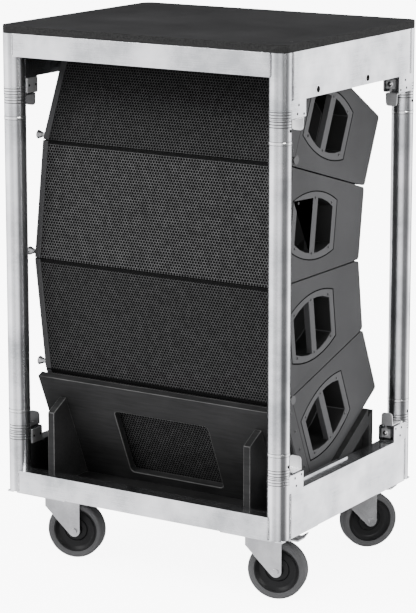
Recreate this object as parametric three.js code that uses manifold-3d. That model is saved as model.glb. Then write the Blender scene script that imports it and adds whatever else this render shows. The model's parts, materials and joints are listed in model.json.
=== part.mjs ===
// Touring cart with a column of four line array cabinets.
// Millimetres, +Z up. The grilles face -Y and the origin lies on the floor, under the middle of the cart.
import * as THREE from "three";
import { mergeVertices } from "three/addons/utils/BufferGeometryUtils.js";
import Module from "manifold-3d";

const wasm = await Module();
wasm.setup();

// ---- Driving dimensions ----
const cartWidth = 896;
const cartDepth = 720;
const cartHeight = 1280; // underside of the base frame to underside of the lid board
const boardThickness = 22;
const boardCornerRadius = 28;
const restGap = 0.3; // between pieces that rest on each other

// Tube posts, and the sockets that they plug into
const tubeRadius = 30;
const tubeWall = 3;
const socketHeight = 170;
const spigotLength = 60;
const spigotClearance = 0.5;
const spigotWall = 3.5;

// Rails are folded channels, open towards the frame's outer face
const railWidth = 48;
const sideRailHeight = 125;
const endRailHeight = 62;
const railWall = 4;
const railCope = 15; // rail end to tube axis
const floorLipWidth = 22;
const floorLipThickness = 3;
const guideStripWidth = 12;
const guideStripHeight = 4;
const guideStripReach = [-240, 50];

// Sides of the faceted round shapes
const tubeSides = 16;
const wheelSides = 20;
const barSides = 10;

// Latches: a spring bolt in an open-ended box beside each socket
const latchBoxEnd = 78; // tube axis to the open end of the box
const latchBoxHeight = 45;
const latchBoxWall = 3.5;
const boltRadius = 6;
const boltHoleClearance = 0.8;
const boltDrop = 22.5; // bolt axis below the socket's mouth
const latchPlateThickness = 2.5;
const latchPlateLift = 2.5;
const latchTabWidth = 36;
const latchTabHeight = 35;
const latchNeckWidth = 8;
const latchNeckClearance = 1.5;
const latchSlotLength = 40;
const latchTabRound = 8;
const latchTabTaper = 1;
// Start and end are measured back from the mouth of the box, inner and outer from the middle of the rail.
const latchCarrier = { start: 24, end: 4, inner: -18, outer: 10, halfHeight: 13 };

// Casters
const wheelRadius = 80;
const wheelWidth = 45;
const rimRadius = 62;
const axleRadius = 6;
const axleClearance = 0.5;
const casterTrail = 38;
const casterInsetX = 120;
const casterInsetY = 110;
const crownClearance = 16;
const crownHeight = 6;
const forkLegThickness = 3;
const forkLegClearance = 4.5; // tyre to fork leg
const swivelGap = 0.3;
const swivelHeight = 11.7;
const casterPlateThickness = 4;
const casterPlateSize = 190;
const axleBossRadius = 16;
const forkLegAngle = 215; // degrees round the axle to where the leg leaves its boss
const forkHeel = -46;
const forkHeelDrop = 28;
const axleEnd = 2;
const axleNutRadius = 9;
const axleNutHeight = 6;
const crownRadius = 38;
const raceRadius = 37;
const raceTaper = 3;
const hubBossRadius = 16;
const hubCollarRadius = 20;
const hubWebHalf = 8;
const rimDepth = 12;
const tyreShoulder = 8;
const pedalRodRadius = 5;
const pedalOffset = 12; // axle to the pedal's pivot, along the trail
const pedalDrop = 6; // crown to the pivot's axis
const pedalReach = 116;

// Cabinets
const splayAngle = 15.8; // degrees between neighbouring cabinets
const cabinetJointGap = 4;
const stackBottomClearance = 36.6;
const stackTopClearance = 2.6;
const stackPostGap = 3; // back of the front posts to the foremost joint of the stack
const stackRearClearance = 99;
const cabinetSideClearance = 16.5;
const cabinetSideWall = 18;
const cabinetWall = 15;
const cabinetRearRound = 9;
const grilleThickness = 2;
const grilleSetback = 1;
const grilleLip = 21;
const baffleSetback = 30;
const baffleThickness = 15;
const driverMargin = 11;
const driverDepth = 95;
const hornWidth = 76;
const hornDepth = 60;
const hornWall = 12;
const hornMargin = 14; // above and below the horn
const compressionDriver = { radius: 50, length: 50 };
const basketShare = 0.65; // of the driver's depth
const magnetShare = 0.6; // of the driver's radius
const basketNeckShare = 0.5;
const coneNeckShare = 0.3;
const coneWall = 8;
const driverOverlap = 4;
const connectorRecess = [150, 90, 6];

// Recessed side handles
const handleSetback = 180; // grille plane to the middle of the handle
const handleLength = 234;
const handleEdgeMargin = 44.8; // cabinet's sloping edge to the handle's arch
const handleArch = 50; // height in the middle over height at the ends
const handleSeam = 0.8;
const handleRim = 22;
const handlePocketDepth = 85;
const handlePocketWall = 3;
const gripWidth = 26;
const gripThickness = 17;

// Quick-release pins
const pinRadius = 5;
const pinClearance = 0.5;
const pinSetback = 12;
const pinRise = 17; // above the joint line
const pinKnobLength = 27;
const pinCollar = { radius: 9, end: 4 };
const pinNeck = { radius: 5, end: 9 };
const pinKnob = { neckRadius: 6, endRadius: 13 };

// Cradle of black plywood
const plyThickness = 21;
const floorThickness = 18;
const cradleClearance = 2; // cradle boards to the rails
const cradleShift = -9; // the front panel stands off centre
const panelHalfWidth = 385;
const panelGap = 8;
const panelTopDrop = 3.5; // below the top of the cabinet's face
const windowHalfWidth = 152;
const windowHeight = [-138, 72]; // along the panel, from the middle of the cabinet's face
const windowRadius = 12;
const cheekOffset = 307;
const cheekShoulder = 228;
const cheekRise = 32; // shoulder to the top at the panel
const padThickness = 20;
const uprightFront = 197;
const padEnd = 190;
const rampFootGap = 23.6; // back of the front panel, at the floor board, to the ramp
const gussetInset = 22;
const weld = 1; // depth that joined pieces run into each other

// ---- Derived places ----
const stackFrontClearance = 2 * tubeRadius + stackPostGap;
const tubeX = cartWidth / 2 - tubeRadius;
const tubeY = cartDepth / 2 - tubeRadius;
const railInnerX = cartWidth / 2 - railWidth;
const railInnerY = cartDepth / 2 - railWidth;
const crownTop = 2 * wheelRadius + crownClearance + crownHeight;
const casterHeight = crownTop + swivelGap + swivelHeight + casterPlateThickness;
const floorTop = floorLipThickness + restGap + floorThickness;
const halfSplay = THREE.MathUtils.degToRad(splayAngle / 2);
const stackRise = cartHeight - stackBottomClearance - stackTopClearance;
const cabinetHeight = stackRise / (2 * (Math.cos(halfSplay) + Math.cos(3 * halfSplay)));
const stackLean = cabinetHeight * (Math.sin(halfSplay) + Math.sin(3 * halfSplay));
const stackRoom = cartDepth - stackFrontClearance - stackRearClearance - stackLean;
const cabinetDepth = (stackRoom * Math.cos(halfSplay)) / Math.cos(4 * halfSplay);
const cabinetHalfWidth = railInnerX - cabinetSideClearance;
const cabinetHalfHeight = (cabinetHeight - cabinetJointGap) / 2;
const taper = Math.tan(halfSplay);
const innerHalfWidth = cabinetHalfWidth - cabinetSideWall;
const handleCentreHeight = 2 * (cabinetHalfHeight - handleSetback * taper - handleEdgeMargin);
const handleEndHeight = handleCentreHeight - handleArch;
const latchOffset = tubeRadius - railWidth / 2; // tube axis outwards to the middle of the rail

const finish = {
  aluminium: () => new THREE.MeshStandardMaterial({ color: 0xc9cacb, roughness: 0.35, metalness: 0.9 }),
  steel: () => new THREE.MeshStandardMaterial({ color: 0xb4b6b8, roughness: 0.3, metalness: 0.95 }),
  deck: () => new THREE.MeshStandardMaterial({ color: 0x3b3b3c, roughness: 0.7, metalness: 0 }),
  plywood: () => new THREE.MeshStandardMaterial({ color: 0x161617, roughness: 0.6, metalness: 0 }),
  cabinet: () => new THREE.MeshStandardMaterial({ color: 0x505153, roughness: 0.75, metalness: 0 }),
  grille: () => new THREE.MeshStandardMaterial({ color: 0x101011, roughness: 0.5, metalness: 0.4 }),
  handle: () => new THREE.MeshStandardMaterial({ color: 0x5c5d5f, roughness: 0.6, metalness: 0 }),
  tyre: () => new THREE.MeshStandardMaterial({ color: 0x6d6e70, roughness: 0.8, metalness: 0 }),
  hub: () => new THREE.MeshStandardMaterial({ color: 0x1d1d1f, roughness: 0.45, metalness: 0 }),
};

// ---- Solids from three.js geometry ----
function solid(geometry) {
  const loose = geometry.index ? geometry.toNonIndexed() : geometry;
  const plain = new THREE.BufferGeometry();
  plain.setAttribute("position", loose.getAttribute("position"));
  const merged = mergeVertices(plain, 1e-4);
  const vertProperties = merged.getAttribute("position").array;
  const triVerts = new Uint32Array(merged.index.array);
  return new wasm.Manifold(new wasm.Mesh({ numProp: 3, vertProperties, triVerts }));
}

function box(x0, x1, y0, y1, z0, z1) {
  const geometry = new THREE.BoxGeometry(x1 - x0, y1 - y0, z1 - z0);
  geometry.translate((x0 + x1) / 2, (y0 + y1) / 2, (z0 + z1) / 2);
  return solid(geometry);
}

// A round bar or cone frustum along one axis; centre holds the other two coordinates in x, y, z order.
function rod(axis, from, to, centre, startRadius, endRadius = startRadius, sides = tubeSides) {
  const geometry = new THREE.CylinderGeometry(endRadius, startRadius, to - from, sides);
  geometry.translate(0, (from + to) / 2, 0);
  if (axis === "x") {
    geometry.rotateZ(-Math.PI / 2);
    geometry.translate(0, centre[0], centre[1]);
  }
  if (axis === "y") geometry.translate(centre[0], 0, centre[1]);
  if (axis === "z") {
    geometry.rotateX(Math.PI / 2);
    geometry.translate(centre[0], centre[1], 0);
  }
  return solid(geometry);
}

// An outline extruded along an axis: (y, z) points along x, (x, z) along y, (x, y) along z.
function prism(axis, from, to, shape, curveSegments = 2) {
  const drawn = (points) => new THREE.Shape(points.map(([u, v]) => new THREE.Vector2(u, v)));
  const outline = Array.isArray(shape) ? drawn(shape) : shape;
  const settings = { depth: to - from, bevelEnabled: false, curveSegments };
  const geometry = new THREE.ExtrudeGeometry(outline, settings);
  const turn = new THREE.Matrix4();
  const [ex, ey, ez] = [new THREE.Vector3(1, 0, 0), new THREE.Vector3(0, 1, 0), new THREE.Vector3(0, 0, 1)];
  if (axis === "x") turn.makeBasis(ey, ez, ex).setPosition(from, 0, 0);
  if (axis === "y") turn.makeBasis(ex, ez, ey.negate()).setPosition(0, to, 0);
  if (axis === "z") turn.setPosition(0, 0, from);
  geometry.applyMatrix4(turn);
  return solid(geometry);
}

// A ring turned about the y axis through (x, z), from a closed profile of [radius, y] points.
// The ring has a flat, not a corner, at its lowest side.
function turned(profile, x, z, sides) {
  const reach = 1 / Math.cos(Math.PI / sides);
  const points = [...profile, profile[0]].map(([r, y]) => new THREE.Vector2(r * reach, y));
  const geometry = new THREE.LatheGeometry(points, sides, Math.PI / sides);
  geometry.translate(x, 0, z);
  return solid(geometry);
}

function roundedRectangle(x0, x1, y0, y1, radius) {
  const shape = new THREE.Shape();
  shape.moveTo(x0 + radius, y0);
  shape.absarc(x1 - radius, y0 + radius, radius, -Math.PI / 2, 0);
  shape.absarc(x1 - radius, y1 - radius, radius, 0, Math.PI / 2);
  shape.absarc(x0 + radius, y1 - radius, radius, Math.PI / 2, Math.PI);
  shape.absarc(x0 + radius, y0 + radius, radius, Math.PI, 1.5 * Math.PI);
  return shape;
}

const union = (pieces) => pieces.reduce((whole, piece) => whole.add(piece));

function mesh(name, piece, material) {
  const data = piece.getMesh();
  const geometry = new THREE.BufferGeometry();
  geometry.setAttribute("position", new THREE.Float32BufferAttribute(data.vertProperties, 3));
  geometry.setIndex(new THREE.BufferAttribute(data.triVerts, 1));
  const made = new THREE.Mesh(geometry, material());
  made.name = name;
  return made;
}

const corners = [
  ["front_left", -1, -1],
  ["front_right", 1, -1],
  ["rear_left", -1, 1],
  ["rear_right", 1, 1],
];

// ---- Welded aluminium frames ----
// A channel of rail: outer box, hollow towards z = 0.
function railChannel(x0, x1, y0, y1, height, alongX) {
  const trim = alongX ? [0, railWall] : [railWall, 0];
  const hollow = box(x0 + trim[0], x1 - trim[0], y0 + trim[1], y1 - trim[1], -1, height - railWall);
  return box(x0, x1, y0, y1, 0, height).subtract(hollow);
}

// The latch box beside one socket, for the corner at +x and -y.
function latchBox() {
  const top = socketHeight;
  const bottom = top - latchBoxHeight;
  const mouth = -tubeY + latchBoxEnd;
  const outer = box(railInnerX, cartWidth / 2, -tubeY, mouth, bottom - railWall / 2, top);
  const hollowX = [railInnerX + latchBoxWall, cartWidth / 2 - latchBoxWall];
  const hollow = box(hollowX[0], hollowX[1], -tubeY, mouth + 1, bottom + latchBoxWall, top - latchBoxWall);
  const slotHalf = latchNeckWidth / 2 + latchNeckClearance;
  const slotX = [tubeX - slotHalf, tubeX + slotHalf];
  const slotFoot = top - 2 * latchBoxWall;
  const slot = box(slotX[0], slotX[1], mouth - latchSlotLength, mouth + 1, slotFoot, top + 1);
  const tube = rod("z", -1, top + 1, [tubeX, -tubeY], tubeRadius);
  return outer.subtract(hollow.add(slot)).subtract(tube);
}

// Frame with z = 0 at its outer face: the underside of the base, and the board side of the lid.
// The added pieces are welded on before the sockets are bored.
function cornerFrame(added = []) {
  const reachX = tubeX - railCope;
  const reachY = tubeY - railCope;
  const edgeX = cartWidth / 2;
  const edgeY = cartDepth / 2;
  const pieces = [
    ...added,
    railChannel(railInnerX, edgeX, -reachY, reachY, sideRailHeight, false),
    railChannel(-edgeX, -railInnerX, -reachY, reachY, sideRailHeight, false),
    railChannel(-reachX, reachX, -edgeY, -railInnerY, endRailHeight, true),
    railChannel(-reachX, reachX, railInnerY, edgeY, endRailHeight, true),
  ];
  const bores = [];
  const box0 = latchBox();
  for (const [, sx, sy] of corners) {
    pieces.push(rod("z", 0, socketHeight, [sx * tubeX, sy * tubeY], tubeRadius));
    pieces.push(box0.scale([sx, -sy, 1]));
    const boreStart = -2 * casterPlateThickness;
    bores.push(rod("z", boreStart, socketHeight + 1, [sx * tubeX, sy * tubeY], tubeRadius - tubeWall));
    const inner = sy * (tubeY - tubeRadius - 2);
    const outer = sy * tubeY;
    const [y0, y1] = [Math.min(inner, outer), Math.max(inner, outer)];
    const hole = boltRadius + boltHoleClearance;
    bores.push(rod("y", y0, y1, [sx * tubeX, socketHeight - boltDrop], hole, hole, barSides));
  }
  return union(pieces).subtract(union(bores));
}

function baseFrame() {
  const pieces = [];
  const lipX = railInnerX - floorLipWidth;
  const lipY = railInnerY - floorLipWidth;
  const [guideStart, guideEnd] = guideStripReach;
  const edge = railWall / 2;
  for (const s of [-1, 1]) {
    const side = box(lipX, railInnerX + edge, -railInnerY - edge, railInnerY + edge, 0, floorLipThickness);
    const end = box(-lipX - edge, lipX + edge, lipY, railInnerY + edge, 0, floorLipThickness);
    const guideX = railInnerX + guideStripWidth;
    const guideTop = sideRailHeight + guideStripHeight;
    const guide = box(railInnerX, guideX, guideStart, guideEnd, sideRailHeight - edge, guideTop);
    pieces.push(side.scale([s, 1, 1]), end.scale([1, s, 1]), guide.scale([s, 1, 1]));
  }
  for (const [, sx, sy] of corners) {
    const edgeX = cartWidth / 2 - railWall;
    const edgeY = cartDepth / 2 - railWall;
    const plateX = edgeX - casterPlateSize;
    const plateY = edgeY - casterPlateSize;
    const plate = box(plateX, edgeX, plateY, edgeY, -casterPlateThickness, weld / 2);
    const swivelX = cartWidth / 2 - casterInsetX;
    const swivelY = cartDepth / 2 - casterInsetY;
    const swivelBottom = -casterPlateThickness - swivelHeight;
    const raceEnd = -casterPlateThickness + weld / 2;
    const centre = [swivelX, swivelY];
    const race = rod("z", swivelBottom, raceEnd, centre, raceRadius - raceTaper, raceRadius, barSides);
    pieces.push(plate.add(race).scale([sx, sy, 1]));
  }
  return cornerFrame(pieces);
}

// ---- Posts: tubes with a reduced spigot at each end ----
function post() {
  const low = socketHeight + restGap;
  const high = cartHeight - socketHeight - restGap;
  const spigotRadius = tubeRadius - tubeWall - spigotClearance;
  const boreRadius = spigotRadius - spigotWall;
  const tube = rod("z", low, high, [0, 0], tubeRadius);
  const spigots = rod("z", low - spigotLength, high + spigotLength, [0, 0], spigotRadius);
  const bore = rod("z", low - spigotLength - 1, high + spigotLength + 1, [0, 0], boreRadius);
  return tube.add(spigots).subtract(bore);
}

// ---- Latch slide, for the corner at +x and -y, seen from the tube axis at the socket's foot ----
function latchSlide() {
  const top = socketHeight;
  const boltZ = top - boltDrop;
  const mouth = latchBoxEnd;
  const spigotRadius = tubeRadius - tubeWall - spigotClearance;
  const carrierStart = mouth - latchCarrier.start;
  const carrierEnd = mouth - latchCarrier.end;
  const plateZ = top + latchPlateLift;
  const tabX = [latchOffset - latchTabWidth / 2, latchOffset + latchTabWidth / 2];
  const tabFront = mouth - latchPlateThickness;
  const tab = new THREE.Shape();
  const tabTop = plateZ + latchTabHeight;
  tab.moveTo(tabX[0], plateZ);
  tab.lineTo(tabX[1], plateZ);
  const arcInset = latchTabTaper + latchTabRound;
  const arcZ = tabTop - latchTabRound;
  tab.lineTo(tabX[1] - latchTabTaper, arcZ);
  tab.absarc(tabX[1] - arcInset, arcZ, latchTabRound, 0, Math.PI / 2);
  tab.absarc(tabX[0] + arcInset, arcZ, latchTabRound, Math.PI / 2, Math.PI);
  const carrierX = [latchOffset + latchCarrier.inner, latchOffset + latchCarrier.outer];
  const carrierZ = [boltZ - latchCarrier.halfHeight, boltZ + latchCarrier.halfHeight];
  return union([
    rod("y", spigotRadius + restGap, carrierStart + 1, [0, boltZ], boltRadius, boltRadius, barSides),
    box(carrierX[0], carrierX[1], carrierStart, carrierEnd, carrierZ[0], carrierZ[1]),
    box(-latchNeckWidth / 2, latchNeckWidth / 2, carrierStart + 4, carrierEnd - 4, boltZ, plateZ + 1),
    box(tabX[0], tabX[1], tubeRadius + 2, mouth, plateZ, plateZ + latchPlateThickness),
    prism("y", tabFront, mouth, tab, 1),
  ]);
}

// ---- Casters, with the wheel trailing towards +x from the swivel axis ----
const forkInner = wheelWidth / 2 + forkLegClearance;
const forkOuter = forkInner + forkLegThickness;

function casterFork() {
  const crownBottom = 2 * wheelRadius + crownClearance;
  const toe = casterTrail + axleBossRadius;
  const axleHalf = forkOuter + axleEnd;
  const leg = new THREE.Shape();
  leg.moveTo(forkHeel, crownBottom + weld);
  leg.lineTo(forkHeel, crownBottom - forkHeelDrop);
  const legStart = THREE.MathUtils.degToRad(forkLegAngle);
  leg.absarc(casterTrail, wheelRadius, axleBossRadius, legStart, 2 * Math.PI);
  leg.lineTo(toe, crownBottom + weld);
  const pieces = [
    rod("z", crownBottom, crownTop, [0, 0], crownRadius, crownRadius - raceTaper, barSides),
    box(forkHeel, toe, -forkOuter, forkOuter, crownBottom, crownBottom + forkLegThickness),
    rod("y", -axleHalf, axleHalf, [casterTrail, wheelRadius], axleRadius, axleRadius, barSides),
  ];
  for (const s of [-1, 1]) {
    const [inner, outer] = [s * forkInner, s * forkOuter];
    const nutEnd = s * (forkOuter + axleNutHeight);
    const nutStart = s * (forkOuter - weld / 2);
    pieces.push(prism("y", Math.min(inner, outer), Math.max(inner, outer), leg, 3));
    const nut = [Math.min(nutStart, nutEnd), Math.max(nutStart, nutEnd)];
    pieces.push(rod("y", nut[0], nut[1], [casterTrail, wheelRadius], axleNutRadius, axleNutRadius, 6));
  }
  return union(pieces);
}

function wheelHub() {
  const half = forkInner - 1;
  const bore = axleRadius + axleClearance;
  const profile = [
    [bore, -half],
    [hubBossRadius, -half],
    [hubCollarRadius, -hubWebHalf - 2],
    [rimRadius - rimDepth, -hubWebHalf],
    [rimRadius, -wheelWidth / 2 + 3],
    [rimRadius, wheelWidth / 2 - 3],
    [rimRadius - rimDepth, hubWebHalf],
    [hubCollarRadius, hubWebHalf + 2],
    [hubBossRadius, half],
    [bore, half],
  ];
  return turned(profile, casterTrail, wheelRadius, wheelSides);
}

function wheelTyre() {
  const inner = rimRadius + restGap;
  const half = wheelWidth / 2;
  const profile = [
    [inner, -half + tyreShoulder / 2],
    [wheelRadius - tyreShoulder, -half],
    [wheelRadius, -half + tyreShoulder],
    [wheelRadius, half - tyreShoulder],
    [wheelRadius - tyreShoulder, half],
    [inner, half - tyreShoulder / 2],
  ];
  return turned(profile, casterTrail, wheelRadius, wheelSides);
}

// Pedal folded from plate, pivoting between the fork legs behind the crown.
function brakePedal() {
  const pivotX = casterTrail + pedalOffset;
  const pivotZ = 2 * wheelRadius + crownClearance - pedalDrop;
  const half = forkInner - 1.5;
  const tread = [
    [pivotX - 4, pivotZ - 2],
    [pedalReach - 18, pivotZ - 4],
    [pedalReach, pivotZ + 8],
    [pedalReach - 1.5, pivotZ + 11],
    [pedalReach - 19, pivotZ],
    [pivotX - 4, pivotZ + 2],
  ];
  const pivot = rod("y", -half, half, [pivotX, pivotZ], pedalRodRadius, pedalRodRadius, barSides);
  return prism("y", -half, half, tread).add(pivot);
}

// ---- Cabinet, seen from the middle of its face: +y runs back into it ----
const halfHeightAt = (y) => cabinetHalfHeight - y * taper;

// Side outline of the cabinet, drawn in by an even margin, with rounded rear corners.
function cabinetOutline(margin, front, rear, radius) {
  const shape = new THREE.Shape();
  const edge = (y) => halfHeightAt(y) - margin;
  const tilt = Math.PI / 2 - halfSplay;
  shape.moveTo(front, -edge(front));
  shape.lineTo(rear - radius, -edge(rear - radius));
  if (radius > 0) {
    const centreZ = edge(rear - radius) - radius / Math.cos(halfSplay);
    shape.absarc(rear - radius, -centreZ, radius, -tilt, 0);
    shape.absarc(rear - radius, centreZ, radius, 0, tilt);
  } else {
    shape.lineTo(rear, -edge(rear));
    shape.lineTo(rear, edge(rear));
  }
  shape.lineTo(front, edge(front));
  return shape;
}

// Barrel outline with straight ends and arched long sides, centred on the handle.
function handleOutline(inset) {
  const half = handleLength / 2 - inset;
  const endHalf = handleEndHeight / 2 - inset * 0.75;
  const rise = (handleCentreHeight - handleEndHeight) / 2;
  const radius = (half * half + rise * rise) / (2 * rise);
  const sweep = Math.asin(half / radius);
  const centreDrop = endHalf + rise - radius;
  const shape = new THREE.Shape();
  shape.absarc(handleSetback, centreDrop, radius, Math.PI / 2 - sweep, Math.PI / 2 + sweep);
  shape.absarc(handleSetback, -centreDrop, radius, -Math.PI / 2 - sweep, -Math.PI / 2 + sweep);
  return shape;
}

const pinZ = -cabinetHalfHeight - cabinetJointGap / 2 + pinRise;

function cabinetShell(hasPins) {
  const [recessX, recessZ, recessDepth] = connectorRecess;
  const outline = cabinetOutline(0, 0, cabinetDepth, cabinetRearRound);
  const outer = prism("x", -cabinetHalfWidth, cabinetHalfWidth, outline, 1);
  const cavity = cabinetOutline(cabinetWall, -1, cabinetDepth - cabinetWall, 0);
  const lipDepth = grilleSetback + grilleLip + restGap;
  const lipStep = grilleThickness + restGap;
  const cuts = [
    prism("x", -innerHalfWidth, innerHalfWidth, cavity),
    box(-innerHalfWidth, innerHalfWidth, -1, grilleSetback + lipStep, -cabinetHeight, cabinetHeight),
    box(-recessX / 2, recessX / 2, cabinetDepth - recessDepth, cabinetDepth + 1, -recessZ / 2, recessZ / 2),
  ];
  for (const s of [-1, 1]) {
    const rebate = [
      [-1, s * cabinetHeight],
      [lipDepth, s * cabinetHeight],
      [lipDepth, s * (halfHeightAt(lipDepth) - lipStep)],
      [-1, s * (halfHeightAt(-1) - lipStep)],
    ];
    cuts.push(prism("x", -innerHalfWidth, innerHalfWidth, rebate));
    const wall = [s * (innerHalfWidth - 1), s * (cabinetHalfWidth + 1)].sort((a, b) => a - b);
    cuts.push(prism("x", wall[0], wall[1], handleOutline(0), 3));
    if (hasPins) {
      const hole = pinRadius + pinClearance;
      cuts.push(rod("x", wall[0], wall[1], [pinSetback, pinZ], hole, hole, barSides));
    }
  }
  return outer.subtract(union(cuts));
}

// Grille folded from perforated sheet, with a lip along its top and bottom.
function grille() {
  const back = grilleSetback + grilleLip;
  const inner = grilleSetback + grilleThickness;
  const half = innerHalfWidth - restGap;
  const outline = [
    [grilleSetback, halfHeightAt(grilleSetback)],
    [grilleSetback, -halfHeightAt(grilleSetback)],
    [back, -halfHeightAt(back)],
    [back, -halfHeightAt(back) + grilleThickness],
    [inner, -halfHeightAt(inner) + grilleThickness],
    [inner, halfHeightAt(inner) - grilleThickness],
    [back, halfHeightAt(back) - grilleThickness],
    [back, halfHeightAt(back)],
  ];
  return prism("x", -half, half, outline);
}

// Baffle with two cone drivers beside a central horn and its compression driver.
function driverBaffle() {
  const front = baffleSetback;
  const back = front + baffleThickness;
  const halfHeight = halfHeightAt(back) - cabinetWall - 1;
  const half = innerHalfWidth - restGap;
  const radius = halfHeight - driverMargin;
  const basketEnd = back + driverDepth * basketShare;
  const driverEnd = back + driverDepth;
  const hornEnd = back + hornDepth;
  const hornHalf = hornWidth / 2;
  const hornX = hornHalf - driverOverlap;
  const hornZ = halfHeight - hornMargin;
  const { radius: throat, length } = compressionDriver;
  const coneNeck = radius * coneNeckShare;
  const magnet = radius * magnetShare;
  const pieces = [
    box(-half, half, front, back, -halfHeight, halfHeight),
    box(-hornX, hornX, back - weld, hornEnd, -hornZ, hornZ),
    rod("y", hornEnd - weld, hornEnd + length, [0, 0], throat, throat, barSides),
  ];
  const mouthX = hornX - hornWall;
  const mouthZ = hornZ - coneWall;
  const cuts = [box(-mouthX, mouthX, front - 1, hornEnd - coneWall, -mouthZ, mouthZ)];
  for (const s of [-1, 1]) {
    const centre = [s * (hornHalf + radius), 0];
    const basketNeck = radius * basketNeckShare;
    const coneMouth = radius - driverOverlap - coneWall;
    pieces.push(rod("y", back - weld, basketEnd, centre, radius - driverOverlap, basketNeck, wheelSides));
    pieces.push(rod("y", basketEnd - 2 * weld, driverEnd, centre, magnet, magnet, barSides));
    cuts.push(rod("y", front - 1, basketEnd - coneWall, centre, coneMouth, coneNeck));
  }
  return union(pieces).subtract(union(cuts));
}

// Recessed handle for the side at +x: rim, pocket and a bar across the middle.
function sideHandle() {
  const outer = cabinetHalfWidth;
  const inner = outer - handlePocketDepth;
  const body = prism("x", inner, outer, handleOutline(handleSeam), 3);
  const pocket = prism("x", inner + handlePocketWall, outer + 1, handleOutline(handleRim), 3);
  const gripHalf = gripWidth / 2;
  const gripEnd = handleCentreHeight / 2 - handleRim / 2;
  const front = handleSetback - gripHalf;
  const rear = handleSetback + gripHalf;
  return body.subtract(pocket).add(box(outer - gripThickness, outer, front, rear, -gripEnd, gripEnd));
}

// Pin for the side at +x: a shank in the side wall and a cone-shaped knob.
function linkPin() {
  const centre = [pinSetback, pinZ];
  const face = cabinetHalfWidth + restGap;
  const collarEnd = face + pinCollar.end;
  const neckEnd = face + pinNeck.end;
  const { neckRadius, endRadius } = pinKnob;
  return union([
    rod("x", innerHalfWidth + 1, face + weld, centre, pinRadius, pinRadius, barSides),
    rod("x", face, collarEnd, centre, pinCollar.radius, pinCollar.radius, barSides),
    rod("x", collarEnd - weld / 2, neckEnd, centre, pinNeck.radius, pinNeck.radius, barSides),
    rod("x", neckEnd - weld / 2, face + pinKnobLength, centre, neckRadius, endRadius, barSides),
  ]);
}

// ---- Cradle ----
function place(piece, tilt, y, z) {
  return piece.rotate([THREE.MathUtils.radToDeg(-tilt), 0, 0]).translate([0, y, z]);
}

// Front panel, parallel to the face of the lowest cabinet and trimmed level at the floor.
function cradlePanel(face) {
  const front = -panelGap - plyThickness;
  const top = cabinetHalfHeight - panelTopDrop;
  const x0 = cradleShift - panelHalfWidth;
  const x1 = cradleShift + panelHalfWidth;
  const [low, high] = windowHeight;
  const windowX = [cradleShift - windowHalfWidth, cradleShift + windowHalfWidth];
  const opening = roundedRectangle(windowX[0], windowX[1], low, high, windowRadius);
  const board = box(x0, x1, front, -panelGap, -cabinetHeight, top);
  const cut = prism("y", front - 1, -panelGap + 1, opening);
  const below = box(-cartWidth, cartWidth, -cartDepth, cartDepth, -cartHeight, floorTop + restGap);
  return place(board.subtract(cut), face.tilt, face.y, face.z).subtract(below);
}

// Upright cheek between the front rail and the front panel.
function cradleCheek(face, side) {
  const front = -railInnerY + cradleClearance;
  const low = floorTop + restGap;
  const slope = Math.tan(-face.tilt);
  const offset = (panelGap + plyThickness + restGap) / Math.cos(face.tilt);
  const panelAt = (z) => face.y - offset - (z - face.z) * slope;
  const topZ = cheekShoulder + cheekRise;
  const outline = [
    [front, low],
    [panelAt(low), low],
    [panelAt(topZ), topZ],
    [front, cheekShoulder],
  ];
  const inner = cheekOffset + side * cradleShift;
  const piece = prism("x", inner, inner + plyThickness, outline);
  return side > 0 ? piece : piece.scale([-1, 1, 1]);
}

// Padded ramp under the lowest cabinet, with its upright board and two side gussets.
function cradleRear(face, joint, slope) {
  const half = railInnerX - cradleClearance;
  const low = floorTop + restGap;
  const lean = 1 / Math.cos(slope);
  const underside = (y) => joint[1] + (y - joint[0]) * Math.tan(slope);
  const seat = (y) => underside(y) - restGap * lean;
  const padFoot = (y) => seat(y) - padThickness * lean;
  const rampFace = (y) => padFoot(y) - plyThickness * lean;
  const depthBelow = (restGap + padThickness + plyThickness) * lean;
  const footY = joint[0] + (low - joint[1] + depthBelow) / Math.tan(slope);
  const rear = uprightFront + plyThickness;
  const panelBack = face.y - panelGap / Math.cos(face.tilt) - (low - face.z) * Math.tan(-face.tilt);
  const rampFoot = panelBack + rampFootGap;
  const ramp = [
    [rampFoot, low],
    [footY, low],
    [uprightFront + 1, rampFace(uprightFront + 1)],
    [uprightFront + 1, padFoot(uprightFront + 1)],
    [padEnd, padFoot(padEnd)],
    [padEnd, seat(padEnd)],
    [rampFoot, seat(rampFoot)],
  ];
  const upright = [
    [uprightFront, low],
    [rear, low],
    [rear, padFoot(rear)],
    [uprightFront, padFoot(uprightFront)],
  ];
  const gusset = [
    [footY - 10, low],
    [uprightFront + 1, low],
    [uprightFront + 1, rampFace(uprightFront) + 1],
    [footY, low + 1],
  ];
  const pieces = [prism("x", -half, half, ramp), prism("x", -half, half, upright)];
  for (const s of [-1, 1]) {
    const ends = [s * (half - gussetInset), s * (half - gussetInset - plyThickness)].sort((a, b) => a - b);
    pieces.push(prism("x", ends[0], ends[1], gusset));
  }
  return union(pieces);
}

// Floor board, lying on the lips inside the base frame, with its corners cut for the sockets.
function cradleFloor() {
  const x = railInnerX - cradleClearance;
  const y = railInnerY - cradleClearance;
  const cut = tubeRadius;
  const outline = [
    [-x, -y + cut],
    [-x + cut, -y],
    [x - cut, -y],
    [x, -y + cut],
    [x, y - cut],
    [x - cut, y],
    [-x + cut, y],
    [-x, y - cut],
  ];
  return prism("z", floorLipThickness + restGap, floorTop, outline);
}

// ---- Assembly ----
const object = new THREE.Group();
const base = new THREE.Group();
base.position.z = casterHeight;
object.add(base);

base.add(mesh("base_frame", baseFrame(), finish.aluminium));
base.add(mesh("cradle_floor", cradleFloor(), finish.plywood));

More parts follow.
